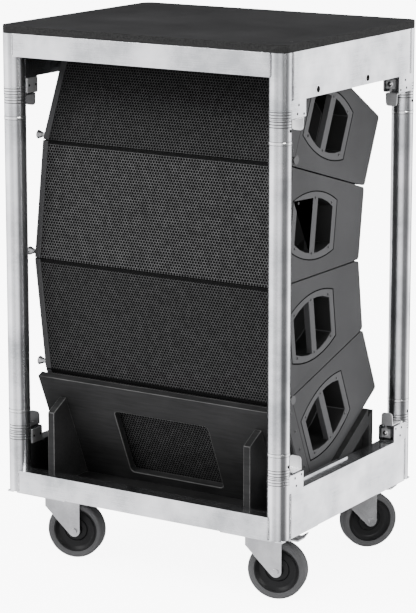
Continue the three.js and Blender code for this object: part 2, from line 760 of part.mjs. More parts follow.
const postSolid = post();
const slideSolid = latchSlide();
for (const [corner, sx, sy] of corners) {
  const tube = mesh("post_" + corner, postSolid, finish.aluminium);
  tube.position.set(sx * tubeX, sy * tubeY, 0);
  base.add(tube);
  const slide = mesh("latch_base_" + corner, slideSolid.scale([sx, -sy, 1]), finish.steel);
  slide.position.set(sx * tubeX, sy * tubeY, 0);
  base.add(slide);
}

const lid = new THREE.Group();
lid.position.z = cartHeight;
base.add(lid);
lid.add(mesh("lid_frame", cornerFrame().scale([1, 1, -1]), finish.aluminium));
const boardX = cartWidth / 2;
const boardY = cartDepth / 2;
const boardShape = roundedRectangle(-boardX, boardX, -boardY, boardY, boardCornerRadius);
lid.add(mesh("lid_board", prism("z", restGap, boardThickness, boardShape, 3), finish.deck));
for (const [corner, sx, sy] of corners) {
  const slide = mesh("latch_lid_" + corner, slideSolid.scale([sx, -sy, -1]), finish.steel);
  slide.position.set(sx * tubeX, sy * tubeY, 0);
  lid.add(slide);
}

const headings = { front_left: 18, front_right: 17, rear_left: 20, rear_right: 49 };
const braked = ["front_right", "rear_right"];
for (const [corner, sx, sy] of corners) {
  const caster = new THREE.Group();
  caster.position.set(sx * (cartWidth / 2 - casterInsetX), sy * (cartDepth / 2 - casterInsetY), 0);
  caster.rotation.z = THREE.MathUtils.degToRad(headings[corner]);
  caster.add(mesh("caster_fork_" + corner, casterFork(), finish.steel));
  caster.add(mesh("wheel_hub_" + corner, wheelHub(), finish.hub));
  caster.add(mesh("wheel_tyre_" + corner, wheelTyre(), finish.tyre));
  if (braked.includes(corner)) caster.add(mesh("brake_pedal_" + corner, brakePedal(), finish.steel));
  object.add(caster);
}

// The column bends evenly about the joint between its second and third cabinets.
// joints holds the front end of each joint, from the top one down.
const middle = [-cartDepth / 2 + stackFrontClearance, stackBottomClearance + stackRise / 2];
const step = (from, tilt, length) => [from[0] + length * Math.sin(tilt), from[1] + length * Math.cos(tilt)];
const upper = step(middle, halfSplay, cabinetHeight);
const lower = step(middle, -halfSplay, -cabinetHeight);
const joints = [
  step(upper, 3 * halfSplay, cabinetHeight),
  upper,
  middle,
  lower,
  step(lower, -3 * halfSplay, -cabinetHeight),
];

const handleSolid = sideHandle();
const pinSolid = linkPin();
const faces = [3, 1, -1, -3].map((turns, i) => ({
  tilt: turns * halfSplay,
  y: (joints[i][0] + joints[i + 1][0]) / 2,
  z: (joints[i][1] + joints[i + 1][1]) / 2,
}));
faces.forEach((face, i) => {
  const number = i + 1;
  const hasPins = number < faces.length;
  const cabinet = new THREE.Group();
  cabinet.position.set(0, face.y, face.z);
  cabinet.rotation.x = -face.tilt;
  cabinet.add(mesh("cabinet_" + number, cabinetShell(hasPins), finish.cabinet));
  cabinet.add(mesh("grille_" + number, grille(), finish.grille));
  cabinet.add(mesh("driver_baffle_" + number, driverBaffle(), finish.hub));
  for (const [side, s] of [["left", -1], ["right", 1]]) {
    const spot = number + "_" + side;
    cabinet.add(mesh("handle_" + spot, handleSolid.scale([s, 1, 1]), finish.handle));
    if (hasPins) cabinet.add(mesh("link_pin_" + spot, pinSolid.scale([s, 1, 1]), finish.steel));
  }
  base.add(cabinet);
});

const lowest = faces[faces.length - 1];
base.add(mesh("cradle_front_panel", cradlePanel(lowest), finish.plywood));
base.add(mesh("cradle_cheek_left", cradleCheek(lowest, -1), finish.plywood));
base.add(mesh("cradle_cheek_right", cradleCheek(lowest, 1), finish.plywood));
base.add(mesh("cradle_rear_support", cradleRear(lowest, joints[4], 4 * halfSplay), finish.plywood));

export default object;
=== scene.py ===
import json
import math
import bmesh
import bpy
import numpy as np
from mathutils import Matrix, Vector


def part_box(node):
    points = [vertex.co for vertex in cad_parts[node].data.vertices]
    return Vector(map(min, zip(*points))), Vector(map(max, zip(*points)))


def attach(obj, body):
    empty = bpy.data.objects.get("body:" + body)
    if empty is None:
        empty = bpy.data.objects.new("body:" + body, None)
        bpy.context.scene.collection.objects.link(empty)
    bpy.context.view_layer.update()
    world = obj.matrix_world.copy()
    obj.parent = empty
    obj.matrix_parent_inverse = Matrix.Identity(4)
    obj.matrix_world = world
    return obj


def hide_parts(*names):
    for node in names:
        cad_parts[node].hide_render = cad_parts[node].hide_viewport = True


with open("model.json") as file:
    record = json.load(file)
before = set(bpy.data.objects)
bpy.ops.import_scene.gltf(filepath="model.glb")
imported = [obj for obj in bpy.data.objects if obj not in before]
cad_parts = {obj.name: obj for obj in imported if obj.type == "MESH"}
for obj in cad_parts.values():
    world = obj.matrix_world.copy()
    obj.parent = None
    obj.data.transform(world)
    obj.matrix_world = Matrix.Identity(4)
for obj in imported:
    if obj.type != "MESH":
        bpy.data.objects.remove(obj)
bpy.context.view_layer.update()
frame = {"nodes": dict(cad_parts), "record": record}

# ---- Camera ----
# A long lens at chest height, 32 degrees round to the right and looking a little down.
# The azimuth is measured from the front, and the height and distance from the floor's middle.
azimuth, distance, height, pitch = math.radians(32.28), 6.789, 2.240, math.radians(11.04)
camera_data = bpy.data.cameras.new("camera")
camera_data.sensor_fit = "VERTICAL"
camera_data.sensor_height = 36
camera_data.lens = 147.1
camera_data.shift_x = -0.004
camera_data.shift_y = -0.12
camera = bpy.data.objects.new("camera", camera_data)
camera.location = (distance * math.sin(azimuth), -distance * math.cos(azimuth), height)
camera.rotation_euler = (math.pi / 2 - pitch, 0, azimuth)
bpy.context.scene.collection.objects.link(camera)
bpy.context.scene.camera = camera

# ---- Floor and light ----
# A pale studio with a flat floor, a soft key from the upper left and a weaker fill from the right. Bright
# panels with dark gaps stand round it and give bare metal its streaks, seen through the floor as well.
floor_mesh = bpy.data.meshes.new("floor")
floor_half = 30
floor_corners = [(-floor_half, -floor_half, 0), (floor_half, -floor_half, 0), (floor_half, floor_half, 0),
                 (-floor_half, floor_half, 0)]
floor_mesh.from_pydata(floor_corners, [], [(0, 1, 2, 3)])
floor = bpy.data.objects.new("floor", floor_mesh)
bpy.context.scene.collection.objects.link(floor)
floor_material = bpy.data.materials.new("studio_floor")
floor_material.use_nodes = True
floor_tree = floor_material.node_tree
floor_paint = floor_tree.nodes["Principled BSDF"]
floor_paint.inputs["Base Color"].default_value = (0.82, 0.82, 0.82, 1)
floor_paint.inputs["Roughness"].default_value = 0.6
floor_paint.inputs["Emission Color"].default_value = (1, 1, 1, 1)
rays = floor_tree.nodes.new("ShaderNodeLightPath")
glow_seen_directly = 7.0
glow_on_object = 0.8
glow = floor_tree.nodes.new("ShaderNodeMath")
glow.operation = "MULTIPLY_ADD"
glow.inputs[1].default_value = glow_seen_directly
glow.inputs[2].default_value = glow_on_object
floor_tree.links.new(rays.outputs["Is Camera Ray"], glow.inputs[0])
floor_tree.links.new(glow.outputs[0], floor_paint.inputs["Emission Strength"])
see_through = floor_tree.nodes.new("ShaderNodeBsdfTransparent")
floor_mix = floor_tree.nodes.new("ShaderNodeMixShader")
floor_tree.links.new(rays.outputs["Is Glossy Ray"], floor_mix.inputs["Fac"])
floor_tree.links.new(floor_paint.outputs["BSDF"], floor_mix.inputs[1])
floor_tree.links.new(see_through.outputs["BSDF"], floor_mix.inputs[2])
floor_tree.links.new(floor_mix.outputs["Shader"], floor_tree.nodes["Material Output"].inputs["Surface"])
floor_mesh.materials.append(floor_material)

world = bpy.data.worlds.new("studio")
world.use_nodes = True
world_tree = world.node_tree
panels = world_tree.nodes["Background"]
turn_by = world_tree.nodes.new("ShaderNodeTexGradient")
turn_by.gradient_type = "RADIAL"
direction = world_tree.nodes.new("ShaderNodeTexCoord").outputs["Generated"]
world_tree.links.new(direction, turn_by.inputs["Vector"])
bands = world_tree.nodes.new("ShaderNodeValToRGB")
panel_levels = [(0.0, 0.90), (0.13, 1.0), (0.17, 0.60), (0.25, 0.42), (0.31, 0.62), (0.36, 0.50),
                (0.41, 0.06), (0.52, 0.06), (0.58, 0.30), (0.62, 1.0), (0.69, 1.0), (0.73, 0.03),
                (0.90, 0.03), (0.96, 0.75)]
while len(bands.color_ramp.elements) < len(panel_levels):
    bands.color_ramp.elements.new(0.5)
for element, (position, level) in zip(bands.color_ramp.elements, panel_levels):
    element.position = position
    element.color = (level, level, level * 1.03, 1)
world_tree.links.new(turn_by.outputs["Fac"], bands.inputs["Fac"])
world_tree.links.new(bands.outputs["Color"], panels.inputs["Color"])
panels.inputs["Strength"].default_value = 3.0
sweep = world_tree.nodes.new("ShaderNodeBackground")
sweep.inputs["Color"].default_value = (1, 1, 1, 1)
sweep.inputs["Strength"].default_value = 8.8
chooser = world_tree.nodes.new("ShaderNodeMixShader")
seen_directly = world_tree.nodes.new("ShaderNodeLightPath").outputs["Is Camera Ray"]
world_tree.links.new(seen_directly, chooser.inputs["Fac"])
world_tree.links.new(panels.outputs["Background"], chooser.inputs[1])
world_tree.links.new(sweep.outputs["Background"], chooser.inputs[2])
world_tree.links.new(chooser.outputs["Shader"], world_tree.nodes["World Output"].inputs["Surface"])
bpy.context.scene.world = world


def soft_light(name, place, target, size, power):
    """A square area light of the given size in metres, turned from its place to its target."""
    data = bpy.data.lights.new(name, "AREA")
    data.shape = "SQUARE"
    data.size = size
    data.energy = power
    lamp = bpy.data.objects.new(name, data)
    lamp.location = place
    lamp.rotation_euler = (Vector(target) - Vector(place)).to_track_quat("-Z", "Y").to_euler()
    bpy.context.scene.collection.objects.link(lamp)


soft_light("key", (-2.6, -4.2, 4.6), (0, 0, 0.8), 2.2, 260)
soft_light("fill", (4.8, -1.6, 2.6), (0, 0, 0.8), 1.8, 180)
soft_light("top", (0.4, 1.0, 4.8), (0, 0, 1.0), 2.0, 90)


# ---- Welded aluminium frames ----
# Base and lid are welded from folded aluminium channel and thick tube sockets, left in mill finish.
# Handling has rubbed the folds bright, and the flats carry fine scratches along the rolling direction.
def effect_group(name, inputs, outputs):
    """An empty shader node group with the named float or vector sockets."""
    tree = bpy.data.node_groups.new(name, "ShaderNodeTree")
    kinds = {"value": "NodeSocketFloat", "vector": "NodeSocketVector"}
    for label, kind, start in inputs:
        socket = tree.interface.new_socket(name=label, in_out="INPUT", socket_type=kinds[kind])
        if start is not None:
            socket.default_value = start
    for label, kind in outputs:
        tree.interface.new_socket(name=label, in_out="OUTPUT", socket_type=kinds[kind])
    return tree, tree.nodes.new("NodeGroupInput"), tree.nodes.new("NodeGroupOutput")


def math_node(tree, operation, first, second=None, clamp=False):
    """One Math node, whose inputs are sockets or numbers."""
    node = tree.nodes.new("ShaderNodeMath")
    node.operation = operation
    node.use_clamp = clamp
    for slot, value in enumerate((first, second)):
        if value is None:
            continue
        if isinstance(value, (int, float)):
            node.inputs[slot].default_value = value
        else:
            tree.links.new(value, node.inputs[slot])
    return node.outputs[0]


def noise_node(tree, vector, scale, detail=4.0, roughness=0.55):
    """Noise from 0 to 1, with its features about 1 / scale metres across."""
    node = tree.nodes.new("ShaderNodeTexNoise")
    node.inputs["Scale"].default_value = scale
    node.inputs["Detail"].default_value = detail
    node.inputs["Roughness"].default_value = roughness
    tree.links.new(vector, node.inputs["Vector"])
    return node.outputs["Fac"]


def stretched(tree, vector, scale):
    """The vector scaled by its own factor along each axis."""
    node = tree.nodes.new("ShaderNodeMapping")
    node.inputs["Scale"].default_value = scale
    tree.links.new(vector, node.inputs["Vector"])
    return node.outputs["Vector"]


def build_rolled_metal():
    """Rolled sheet: fine streaks along x or y, wide cloudy stains, and a few sharp scratches.

    Streaks are noise squeezed 60 times across the rolling direction, and a scratch is where a second,
    slanted streak noise passes a high threshold.
    """
    tree, start, end = effect_group(
        "rolled_metal",
        [("Vector", "vector", None)],
        [("Stain", "value"), ("Streak", "value"), ("Height", "value")])
    vector = start.outputs["Vector"]
    along_y = noise_node(tree, stretched(tree, vector, (700, 9, 700)), 1.0, 3)
    along_x = noise_node(tree, stretched(tree, vector, (9, 700, 700)), 1.0, 3)
    streak = math_node(tree, "MULTIPLY", math_node(tree, "ADD", along_x, along_y), 0.5)
    stain = noise_node(tree, vector, 7.0, 6)
    slanted = noise_node(tree, stretched(tree, vector, (90, 14, 240)), 1.0, 2)
    scratch = math_node(tree, "MULTIPLY", math_node(tree, "SUBTRACT", slanted, 0.66), 12.0, clamp=True)
    raised = math_node(tree, "SUBTRACT", math_node(tree, "MULTIPLY", streak, 0.5), scratch)
    for label, socket in (("Stain", stain), ("Streak", streak), ("Height", raised)):
        tree.links.new(socket, end.inputs[label])
    return tree


def build_speckle():
    """Fine textured coat: two noises, one for the grain of the surface and one for pale flecks."""
    tree, start, end = effect_group(
        "speckle",
        [("Vector", "vector", None), ("Grain Scale", "value", 900.0), ("Fleck Scale", "value", 420.0)],
        [("Grain", "value"), ("Fleck", "value"), ("Cloud", "value")])
    vector = start.outputs["Vector"]
    noises = []
    for label, detail in (("Grain Scale", 3), ("Fleck Scale", 2)):
        node = tree.nodes.new("ShaderNodeTexNoise")
        node.inputs["Detail"].default_value = detail
        tree.links.new(vector, node.inputs["Vector"])
        tree.links.new(start.outputs[label], node.inputs["Scale"])
        noises.append(node.outputs["Fac"])
    fleck = math_node(tree, "MULTIPLY", math_node(tree, "SUBTRACT", noises[1], 0.6), 7.0, clamp=True)
    tree.links.new(noises[0], end.inputs["Grain"])
    tree.links.new(fleck, end.inputs["Fleck"])
    tree.links.new(noise_node(tree, vector, 5.0, 5), end.inputs["Cloud"])
    return tree


rolled_metal = build_rolled_metal()
speckle = build_speckle()


def new_material(name):
    """A material with its Principled shader and an Object coordinate, ready for its nodes."""
    material = bpy.data.materials.new(name)
    material.use_nodes = True
    tree = material.node_tree
    coordinate = tree.nodes.new("ShaderNodeTexCoord").outputs["Object"]
    return material, tree, tree.nodes["Principled BSDF"], coordinate


def ramp(tree, value, stops):
    """A colour ramp through (position, colour) stops."""
    node = tree.nodes.new("ShaderNodeValToRGB")
    while len(node.color_ramp.elements) < len(stops):
        node.color_ramp.elements.new(0.5)
    for element, (position, colour) in zip(node.color_ramp.elements, stops):
        element.position = position
        element.color = (*colour, 1)
    tree.links.new(value, node.inputs["Fac"])
    return node.outputs["Color"]


def spread(tree, value, low, high):
    """The value from 0..1 carried to low..high."""
    node = tree.nodes.new("ShaderNodeMapRange")
    node.inputs["To Min"].default_value = low
    node.inputs["To Max"].default_value = high
    tree.links.new(value, node.inputs["Value"])
    return node.outputs["Result"]


def bump(tree, shader, heights, distance, strength=0.5):
    """Heights carried to the shader's normal, with the distance in metres."""
    node = tree.nodes.new("ShaderNodeBump")
    node.inputs["Distance"].default_value = distance
    node.inputs["Strength"].default_value = strength
    tree.links.new(heights, node.inputs["Height"])
    tree.links.new(node.outputs["Normal"], shader.inputs["Normal"])


def metal(name, dark, light, roughness, bump_depth=0.00006):
    """Bare or plated metal over the rolled_metal group, between a dark and a light tone."""
    material, tree, shader, coordinate = new_material(name)
    group = tree.nodes.new("ShaderNodeGroup")
    group.node_tree = rolled_metal
    tree.links.new(coordinate, group.inputs["Vector"])
    tone = math_node(tree, "ADD", math_node(tree, "MULTIPLY", group.outputs["Stain"], 0.7),
                     math_node(tree, "MULTIPLY", group.outputs["Streak"], 0.3))
    tree.links.new(ramp(tree, tone, ((0.38, dark), (0.60, light))), shader.inputs["Base Color"])
    tree.links.new(spread(tree, tone, roughness[1], roughness[0]), shader.inputs["Roughness"])
    shader.inputs["Metallic"].default_value = 1
    bump(tree, shader, group.outputs["Height"], bump_depth)
    return material


aluminium = metal("aluminium_mill", (0.42, 0.43, 0.44), (0.84, 0.84, 0.85), (0.14, 0.30))
aluminium_edge = metal("aluminium_rubbed", (0.74, 0.74, 0.75), (0.90, 0.90, 0.90), (0.18, 0.30))


bodies = frame["record"]["behaviour"]["bodies"]
body_of_node = {node: body for body, nodes in bodies.items() for node in nodes}


def shaped_copy(node, surface, edge, width, segments):
    """The node's solid as one joined mesh with its folds rounded by a Bevel.

    Points closer than two micrometres are joined, coplanar triangles become one face, and edges over 40
    degrees are rounded. The rounding takes the edge material, which shows where the finish is rubbed.
    """
    data = frame["nodes"][node].data.copy()
    data.name = node + "_shape"
    shape = bmesh.new()
    shape.from_mesh(data)
    bmesh.ops.remove_doubles(shape, verts=shape.verts, dist=2e-6)
    bmesh.ops.dissolve_limit(shape, angle_limit=math.radians(0.6), verts=shape.verts, edges=shape.edges)
    for face in shape.faces:
        face.smooth = True
        face.material_index = 0
    shape.to_mesh(data)
    shape.free()
    data.set_sharp_from_angle(angle=math.radians(40))
    data.materials.clear()
    data.materials.append(surface)
    data.materials.append(edge)
    obj = bpy.data.objects.new("shape_" + node, data)
    bpy.context.scene.collection.objects.link(obj)
    rounding = obj.modifiers.new("rounding", "BEVEL")
    rounding.width = width
    rounding.segments = segments
    rounding.limit_method = "ANGLE"
    rounding.angle_limit = math.radians(40)
    rounding.harden_normals = True
    rounding.material = 1
    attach(obj, body_of_node[node])
    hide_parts(node)
    return data


for node in ("base_frame", "lid_frame"):
    shaped_copy(node, aluminium, aluminium_edge, 0.0012, 3)


# ---- Posts and socket collars ----
# Four 60 mm tubes join base to lid. Each is turned down to a spigot at both ends, and three fine rings
# are cut beside every joint, on tube and socket alike, as marks that the tube is fully home. A ringed
# band ends each socket, and a smooth round skin covers the rest of it.
def turned_piece(name, profile, place, axis, material, body, segments=64):
    """A closed profile of (radius, height) carried round an axis.

    Point (i, j) of the grid is profile point j turned by 2 pi i / segments. The profile is given
    anticlockwise with radius to the right, so that faces point outwards, and its ends are joined.
    """
    profile = np.asarray(profile, float)
    turn = np.linspace(0, 2 * np.pi, segments, endpoint=False)
    radius, along = profile[:, 0], profile[:, 1]
    grid = np.stack([np.outer(np.cos(turn), radius), np.outer(np.sin(turn), radius),
                     np.broadcast_to(along, (segments, len(along)))], axis=-1)
    points = grid.reshape(-1, 3)
    basis = np.array(Vector((0, 0, 1)).rotation_difference(Vector(axis)).to_matrix())
    points = points @ basis.T + np.asarray(place)
    i, j = np.meshgrid(np.arange(segments), np.arange(len(profile)), indexing="ij")
    a = i * len(profile) + j
    b = (i + 1) % segments * len(profile) + j
    c = (i + 1) % segments * len(profile) + (j + 1) % len(profile)
    d = i * len(profile) + (j + 1) % len(profile)
    faces = np.stack([a, b, c, d], axis=-1).reshape(-1, 4)
    data = bpy.data.meshes.new(name)
    data.from_pydata(points.tolist(), [], faces.tolist())
    shape = bmesh.new()
    shape.from_mesh(data)
    bmesh.ops.remove_doubles(shape, verts=shape.verts, dist=1e-7)
    bmesh.ops.dissolve_degenerate(shape, edges=shape.edges, dist=1e-7)
    bmesh.ops.recalc_face_normals(shape, faces=shape.faces)
    for face in shape.faces:
        face.smooth = True
    shape.to_mesh(data)
    shape.free()
    data.set_sharp_from_angle(angle=math.radians(32))
    data.materials.append(material)
    obj = bpy.data.objects.new(name, data)
    bpy.context.scene.collection.objects.link(obj)
    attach(obj, body)
    return obj


corners = [("front_left", -1, -1), ("front_right", 1, -1), ("rear_left", -1, 1), ("rear_right", 1, 1)]
tube_radius = 0.030
tube_bore = 0.023
spigot_length = 0.060
spigot_radius = 0.0265
groove_depth = 0.0014
groove_half = 0.0011
tube_rings = (0.0045, 0.012, 0.0195)
base_underside = 0.198


def post_seats(corner):
    """(x, y, foot, head) of a post: its axis, and the heights where its full tube starts and ends."""
    low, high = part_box("post_" + corner)
    return (low[0] + high[0]) / 2, (low[1] + high[1]) / 2, low[2] + spigot_length, high[2] - spigot_length


def ringed(radius, low, high, rings):
    """Profile points up a tube wall with a V groove at each ring height."""
    points = [(radius, low)]
    for z in sorted(rings):
        points += [(radius, z - groove_half), (radius - groove_depth, z), (radius, z + groove_half)]
    return points + [(radius, high)]


for corner, sx, sy in corners:
    x, y, foot, head = post_seats(corner)
    low, high = (point[2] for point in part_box("post_" + corner))
    wall = ringed(tube_radius, foot, head, [foot + r for r in tube_rings] + [head - r for r in tube_rings])
    profile = [(tube_bore, low), (spigot_radius, low), (spigot_radius, foot), *wall, (spigot_radius, head),
               (spigot_radius, high), (tube_bore, high)]
    obj = turned_piece("tube_" + corner, profile, (x, y, 0), (0, 0, 1), aluminium, "cart")
    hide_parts("post_" + corner)

seat_gap = 0.0003
band_height = 0.024
band_radius = tube_radius + 0.00062
skin_radius = tube_radius + 0.0003
skin_inner = tube_radius - 0.001
skin_gap = 0.0002
for corner, sx, sy in corners:
    x, y, foot, head = post_seats(corner)
    for level, body, seat, way in (("base", "cart", foot - seat_gap, -1), ("lid", "lid", head + seat_gap, 1)):
        low, high = sorted((seat, seat + way * band_height))
        wall = ringed(band_radius, low + seat_gap, high - seat_gap, [seat + way * r for r in tube_rings])
        profile = [(skin_inner, low), *wall, (skin_inner, high)]
        turned_piece(f"ring_band_{level}_{corner}", profile, (x, y, 0), (0, 0, 1), aluminium, body)
for corner, sx, sy in corners:
    x, y, foot, head = post_seats(corner)
    base_ends = (base_underside + 0.0003, foot - band_height - skin_gap)
    lid_ends = (head + band_height + skin_gap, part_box("lid_board")[0][2] - 0.0004)
    for level, body, (low, high) in (("base", "cart", base_ends), ("lid", "lid", lid_ends)):
        profile = [(skin_inner, low), (skin_radius - 0.0005, low), (skin_radius, low + 0.0005),
                   (skin_radius, high), (skin_inner, high)]
        turned_piece(f"socket_skin_{level}_{corner}", profile, (x, y, 0), (0, 0, 1), aluminium, body)


# ---- Joint lines and weld rings of the posts ----
# Near-black bands lie in the rings beside each joint and in the joint itself: painted shade for the shadow in
# these grooves and gaps. Further in, a welded ring marks where the thick end sleeve meets the tube, with a
# near-black band at each side of it as painted shade at its edges.
# Near-black material for painted shade in the grooves, the joint gaps and beside the weld rings.
groove_shade, tree, shader, coordinate = new_material("painted_groove_shade")
shade_noise = noise_node(tree, coordinate, 300.0)
shade_tone = ramp(tree, shade_noise, ((0.3, (0.008, 0.008, 0.008)), (0.7, (0.030, 0.030, 0.030))))
tree.links.new(shade_tone, shader.inputs["Base Color"])
tree.links.new(spread(tree, shade_noise, 0.5, 0.8), shader.inputs["Roughness"])


def sleeve(name, place, half, lift, material, body):
    """A thin band round the tube, 2 * half tall and lift proud of it, with its two edges drawn in."""
    inner, outer = tube_radius - 0.0012, tube_radius + lift
    profile = [(inner, -half), (outer - 0.0003, -half), (outer, -half * 0.5), (outer, half * 0.5),
               (outer - 0.0003, half), (inner, half)]
    turned_piece(name, profile, place, (0, 0, 1), material, body)


ring_line_half, tube_line_lift, socket_line_lift = 0.0007, 0.0001, 0.0005
seam_half, seam_lift = 0.0008, 0.0002
weld_half, weld_lift = 0.0032, 0.0006
weld_from_seat = 0.0605
weld_line_offset = 0.0042
# Each ring line, joint line and weld line below is a near-black band of painted shade.
for corner, sx, sy in corners:
    x, y, foot, head = post_seats(corner)
    for end, seat, way, body in (("low", foot, 1, "cart"), ("high", head, -1, "lid")):
        for k, ring in enumerate(tube_rings):
            tube_z, socket_z = seat + way * ring, seat - way * (ring + seat_gap)
            sleeve(f"grime_tube_{corner}_{end}_{k}", (x, y, tube_z), ring_line_half, tube_line_lift, groove_shade,
                   "cart")
            sleeve(f"grime_socket_{corner}_{end}_{k}", (x, y, socket_z), ring_line_half, socket_line_lift,
                   groove_shade, body)
        joint = (x, y, seat - way * 0.0001)
        sleeve(f"joint_line_{corner}_{end}", joint, seam_half, seam_lift, groove_shade, "cart")
        weld_z = seat + way * weld_from_seat
        for k, offset in enumerate((-weld_line_offset, weld_line_offset)):
            place = (x, y, weld_z + offset)
            sleeve(f"weld_line_{corner}_{end}_{k}", place, seam_half, seam_lift, groove_shade, "cart")
        sleeve(f"weld_ring_{corner}_{end}", (x, y, weld_z), weld_half, weld_lift, aluminium_edge, "cart")


# ---- Drilled holes in the tubes and the lid rail ----
# Each post has a 10 mm hole near either end on its outward side, and the lid's side rails have two
# larger lifting holes with bright rims. All are seen as dark wells with a clean cut edge.
dark, tree, shader, coordinate = new_material("hole_shadow")
murk = noise_node(tree, coordinate, 220.0)
shade = ramp(tree, murk, ((0.3, (0.0015, 0.0015, 0.0015)), (0.7, (0.005, 0.005, 0.005))))
tree.links.new(shade, shader.inputs["Base Color"])
shader.inputs["Roughness"].default_value = 0.8
shader.inputs["Specular IOR Level"].default_value = 0.05


def well(name, place, axis, radius, rim, body):
    """A rim ring and, inside it, a dark dish a little lower than the rim, both just proud of the face."""
    depth = 0.0009
    ring = [(radius, -depth), (radius + rim, -depth), (radius + rim, 0.0004), (radius, 0.0006)]
    turned_piece(name + "_rim", ring, place, axis, aluminium_edge, body, 40)
    dish = [(0, -depth), (radius, -depth), (radius, 0.0003), (0, 0.0002)]
    turned_piece(name + "_dish", dish, place, axis, dark, body, 40)


hole_from_seat = 0.0287
lid_hole_drop = 0.108
lid_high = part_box("lid_frame")[1]
for corner, sx, sy in corners:
    x, y, foot, head = post_seats(corner)
    for end, z in (("low", foot + hole_from_seat), ("high", head - hole_from_seat)):
        place = (x + sx * (tube_radius + 0.0001), y, z)
        well(f"tube_hole_{corner}_{end}", place, (sx, 0, 0), 0.005, 0.0009, "cart")
for side, s in (("left", -1), ("right", 1)):
    for number, y in enumerate((-0.191, 0.073), 1):
        place = (s * (lid_high[0] + 0.0002), y, lid_high[2] - lid_hole_drop)
        well(f"lid_hole_{side}_{number}", place, (s, 0, 0), 0.009, 0.0022, "lid")


# ---- Weld beads ----
# Every rail end is welded to its socket with a stack-of-coins bead: overlapping frozen ripples of
# slightly duller metal, about 7 mm wide.
bead_metal = metal("weld_bead", (0.26, 0.26, 0.27), (0.60, 0.60, 0.61), (0.24, 0.42), 0.0001)


def weld_bead(name, start, end, body, radius=0.0036, pitch=0.0042):
    """A straight ripple: radius times 0.8 + 0.3 |sin(pi s / pitch)| along the joint, closed at both ends."""
    start, end = np.asarray(start, float), np.asarray(end, float)
    length = np.linalg.norm(end - start)
    s = np.linspace(0, length, max(int(length / pitch) * 5, 10))
    swell = radius * (0.8 + 0.3 * np.abs(np.sin(np.pi * s / pitch)))
    swell[[0, -1]] = 0
    profile = np.stack([swell, s], axis=-1)
    profile = np.concatenate([profile, [[0, length / 2]]])
    turned_piece(name, profile, start, tuple((end - start) / length), bead_metal, body, 12)


bead_start = 0.003
side_bead_end = 0.122
end_bead_end = 0.059
bead_lines = (("side_out", 0.4458, 0.3155, side_bead_end), ("side_in", 0.4040, 0.3040, side_bead_end),
              ("end_out", 0.4035, 0.3578, end_bead_end), ("end_in", 0.3920, 0.3160, end_bead_end))
for corner, sx, sy in corners:
    for level, body, face_z, way in (("base", "cart", base_underside, 1), ("lid", "lid", lid_high[2], -1)):
        for part, x, y, end in bead_lines:
            start_point = (sx * x, sy * y, face_z + way * bead_start)
            end_point = (sx * x, sy * y, face_z + way * end)
            weld_bead(f"bead_{level}_{corner}_{part}", start_point, end_point, body)


# ---- Lid board ----
# Birch plywood faced with dark phenolic film, held by countersunk screws near the corners.
# The film is matt and finely pebbled, and the sanded edge shows speckled grey.
deck, tree, shader, coordinate = new_material("phenolic_film")
group = tree.nodes.new("ShaderNodeGroup")
group.node_tree = speckle
group.inputs["Grain Scale"].default_value = 320
group.inputs["Fleck Scale"].default_value = 240
tree.links.new(coordinate, group.inputs["Vector"])
tone = math_node(tree, "ADD", math_node(tree, "MULTIPLY", group.outputs["Cloud"], 0.25),
                 math_node(tree, "MULTIPLY", group.outputs["Grain"], 0.75))
film = ramp(tree, tone, ((0.38, (0.0060, 0.0060, 0.0060)), (0.62, (0.0290, 0.0290, 0.0294))))
edge = ramp(tree, group.outputs["Grain"], ((0.35, (0.006, 0.006, 0.006)), (0.62, (0.024, 0.024, 0.0236))))
facing = tree.nodes.new("ShaderNodeSeparateXYZ")
tree.links.new(tree.nodes.new("ShaderNodeNewGeometry").outputs["Normal"], facing.inputs["Vector"])
is_face = math_node(tree, "GREATER_THAN", math_node(tree, "ABSOLUTE", facing.outputs["Z"]), 0.6)
mix = tree.nodes.new("ShaderNodeMix")
mix.data_type = "RGBA"
tree.links.new(is_face, mix.inputs["Factor"])
tree.links.new(edge, mix.inputs["A"])
tree.links.new(film, mix.inputs["B"])
tree.links.new(mix.outputs["Result"], shader.inputs["Base Color"])
tree.links.new(spread(tree, group.outputs["Grain"], 0.50, 0.72), shader.inputs["Roughness"])
shader.inputs["Specular IOR Level"].default_value = 0.05
bump(tree, shader, group.outputs["Grain"], 0.0003)
shaped_copy("lid_board", deck, deck, 0.0014, 3)

screw_steel = metal("screw_black", (0.03, 0.03, 0.03), (0.09, 0.09, 0.09), (0.30, 0.45))


def screw(name, place, axis, radius, body):
    """A domed socket head: a low dome with a straight-sided recess in its middle, closed underneath."""
    s = np.linspace(0, 1, 4)
    dome = np.stack([radius * np.cos(s * 1.1), radius * 0.30 * np.sin(s * np.pi / 2)], axis=-1)
    well_radius = radius * 0.34
    profile = [(0, -radius * 0.1), (radius, -radius * 0.1), *dome.tolist(), (well_radius, radius * 0.29),
               (well_radius, radius * 0.06), (0, radius * 0.06)]
    turned_piece(name, profile, place, axis, screw_steel, body, 12)


board_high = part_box("lid_board")[1]
for corner, sx, sy in corners:
    for number, (dx, dy) in enumerate(((0.024, 0.075), (0.075, 0.024)), 1):
        place = (sx * (board_high[0] - dx), sy * (board_high[1] - dy), board_high[2] - 0.0009)
        screw(f"board_screw_{corner}_{number}", place, (0, 0, 1), 0.0045, "lid")


# ---- Latches ----
# A bolt slides in a box beside each socket, pushed home by a coil spring and drawn by a bent tab.
# All latches are zinc plated. Those on the left are drawn in a near-black material, painted shade and painted
# dark reflection on the same zinc. Each has a guard plate behind it, its screws and a cap on the bolt.
zinc_edge = metal("zinc_rubbed", (0.74, 0.74, 0.74), (0.90, 0.90, 0.90), (0.15, 0.26))
